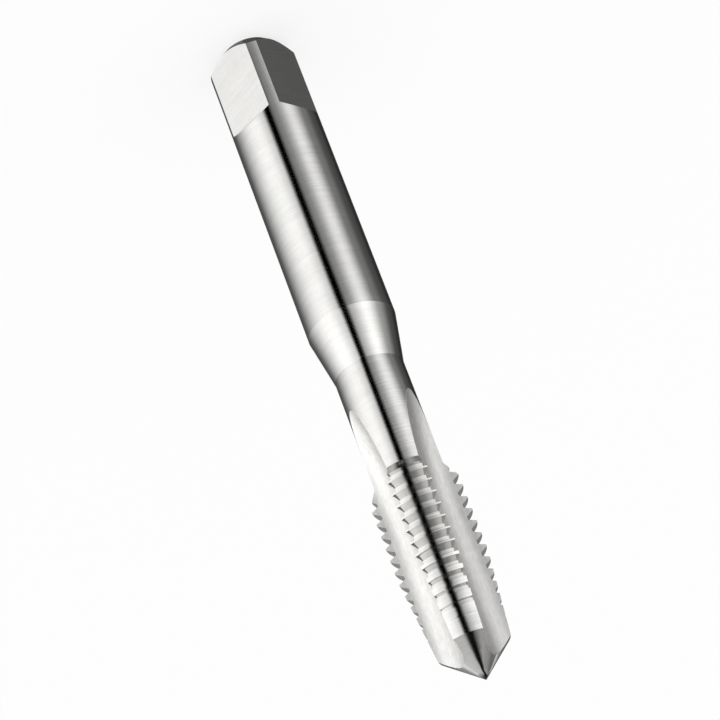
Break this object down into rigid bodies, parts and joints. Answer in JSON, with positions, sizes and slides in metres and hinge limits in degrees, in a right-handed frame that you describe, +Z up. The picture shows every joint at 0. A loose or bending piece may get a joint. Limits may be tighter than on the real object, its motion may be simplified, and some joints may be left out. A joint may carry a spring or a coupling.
{
  "type": "thread tap",
  "caption": "Straight-fluted hand tap that cuts a right-hand internal thread, with a tapered lead, pointed tip, relieved neck and square drive end.",
  "frame": {"origin": "centre of the square end's face, on the axis, at the foot of the standing tap", "axes": "+Z up along the tap's axis from the square end to the cutting point, +X and +Y square to two neighbouring flats of the driving square"},
  "size_m": [0.01, 0.01, 0.083],
  "materials": {
    "ground_steel": "ground and polished high-speed steel"
  },
  "bodies": {
    "root": {"thread_tap": "ground_steel"}
  },
  "joints": []
}
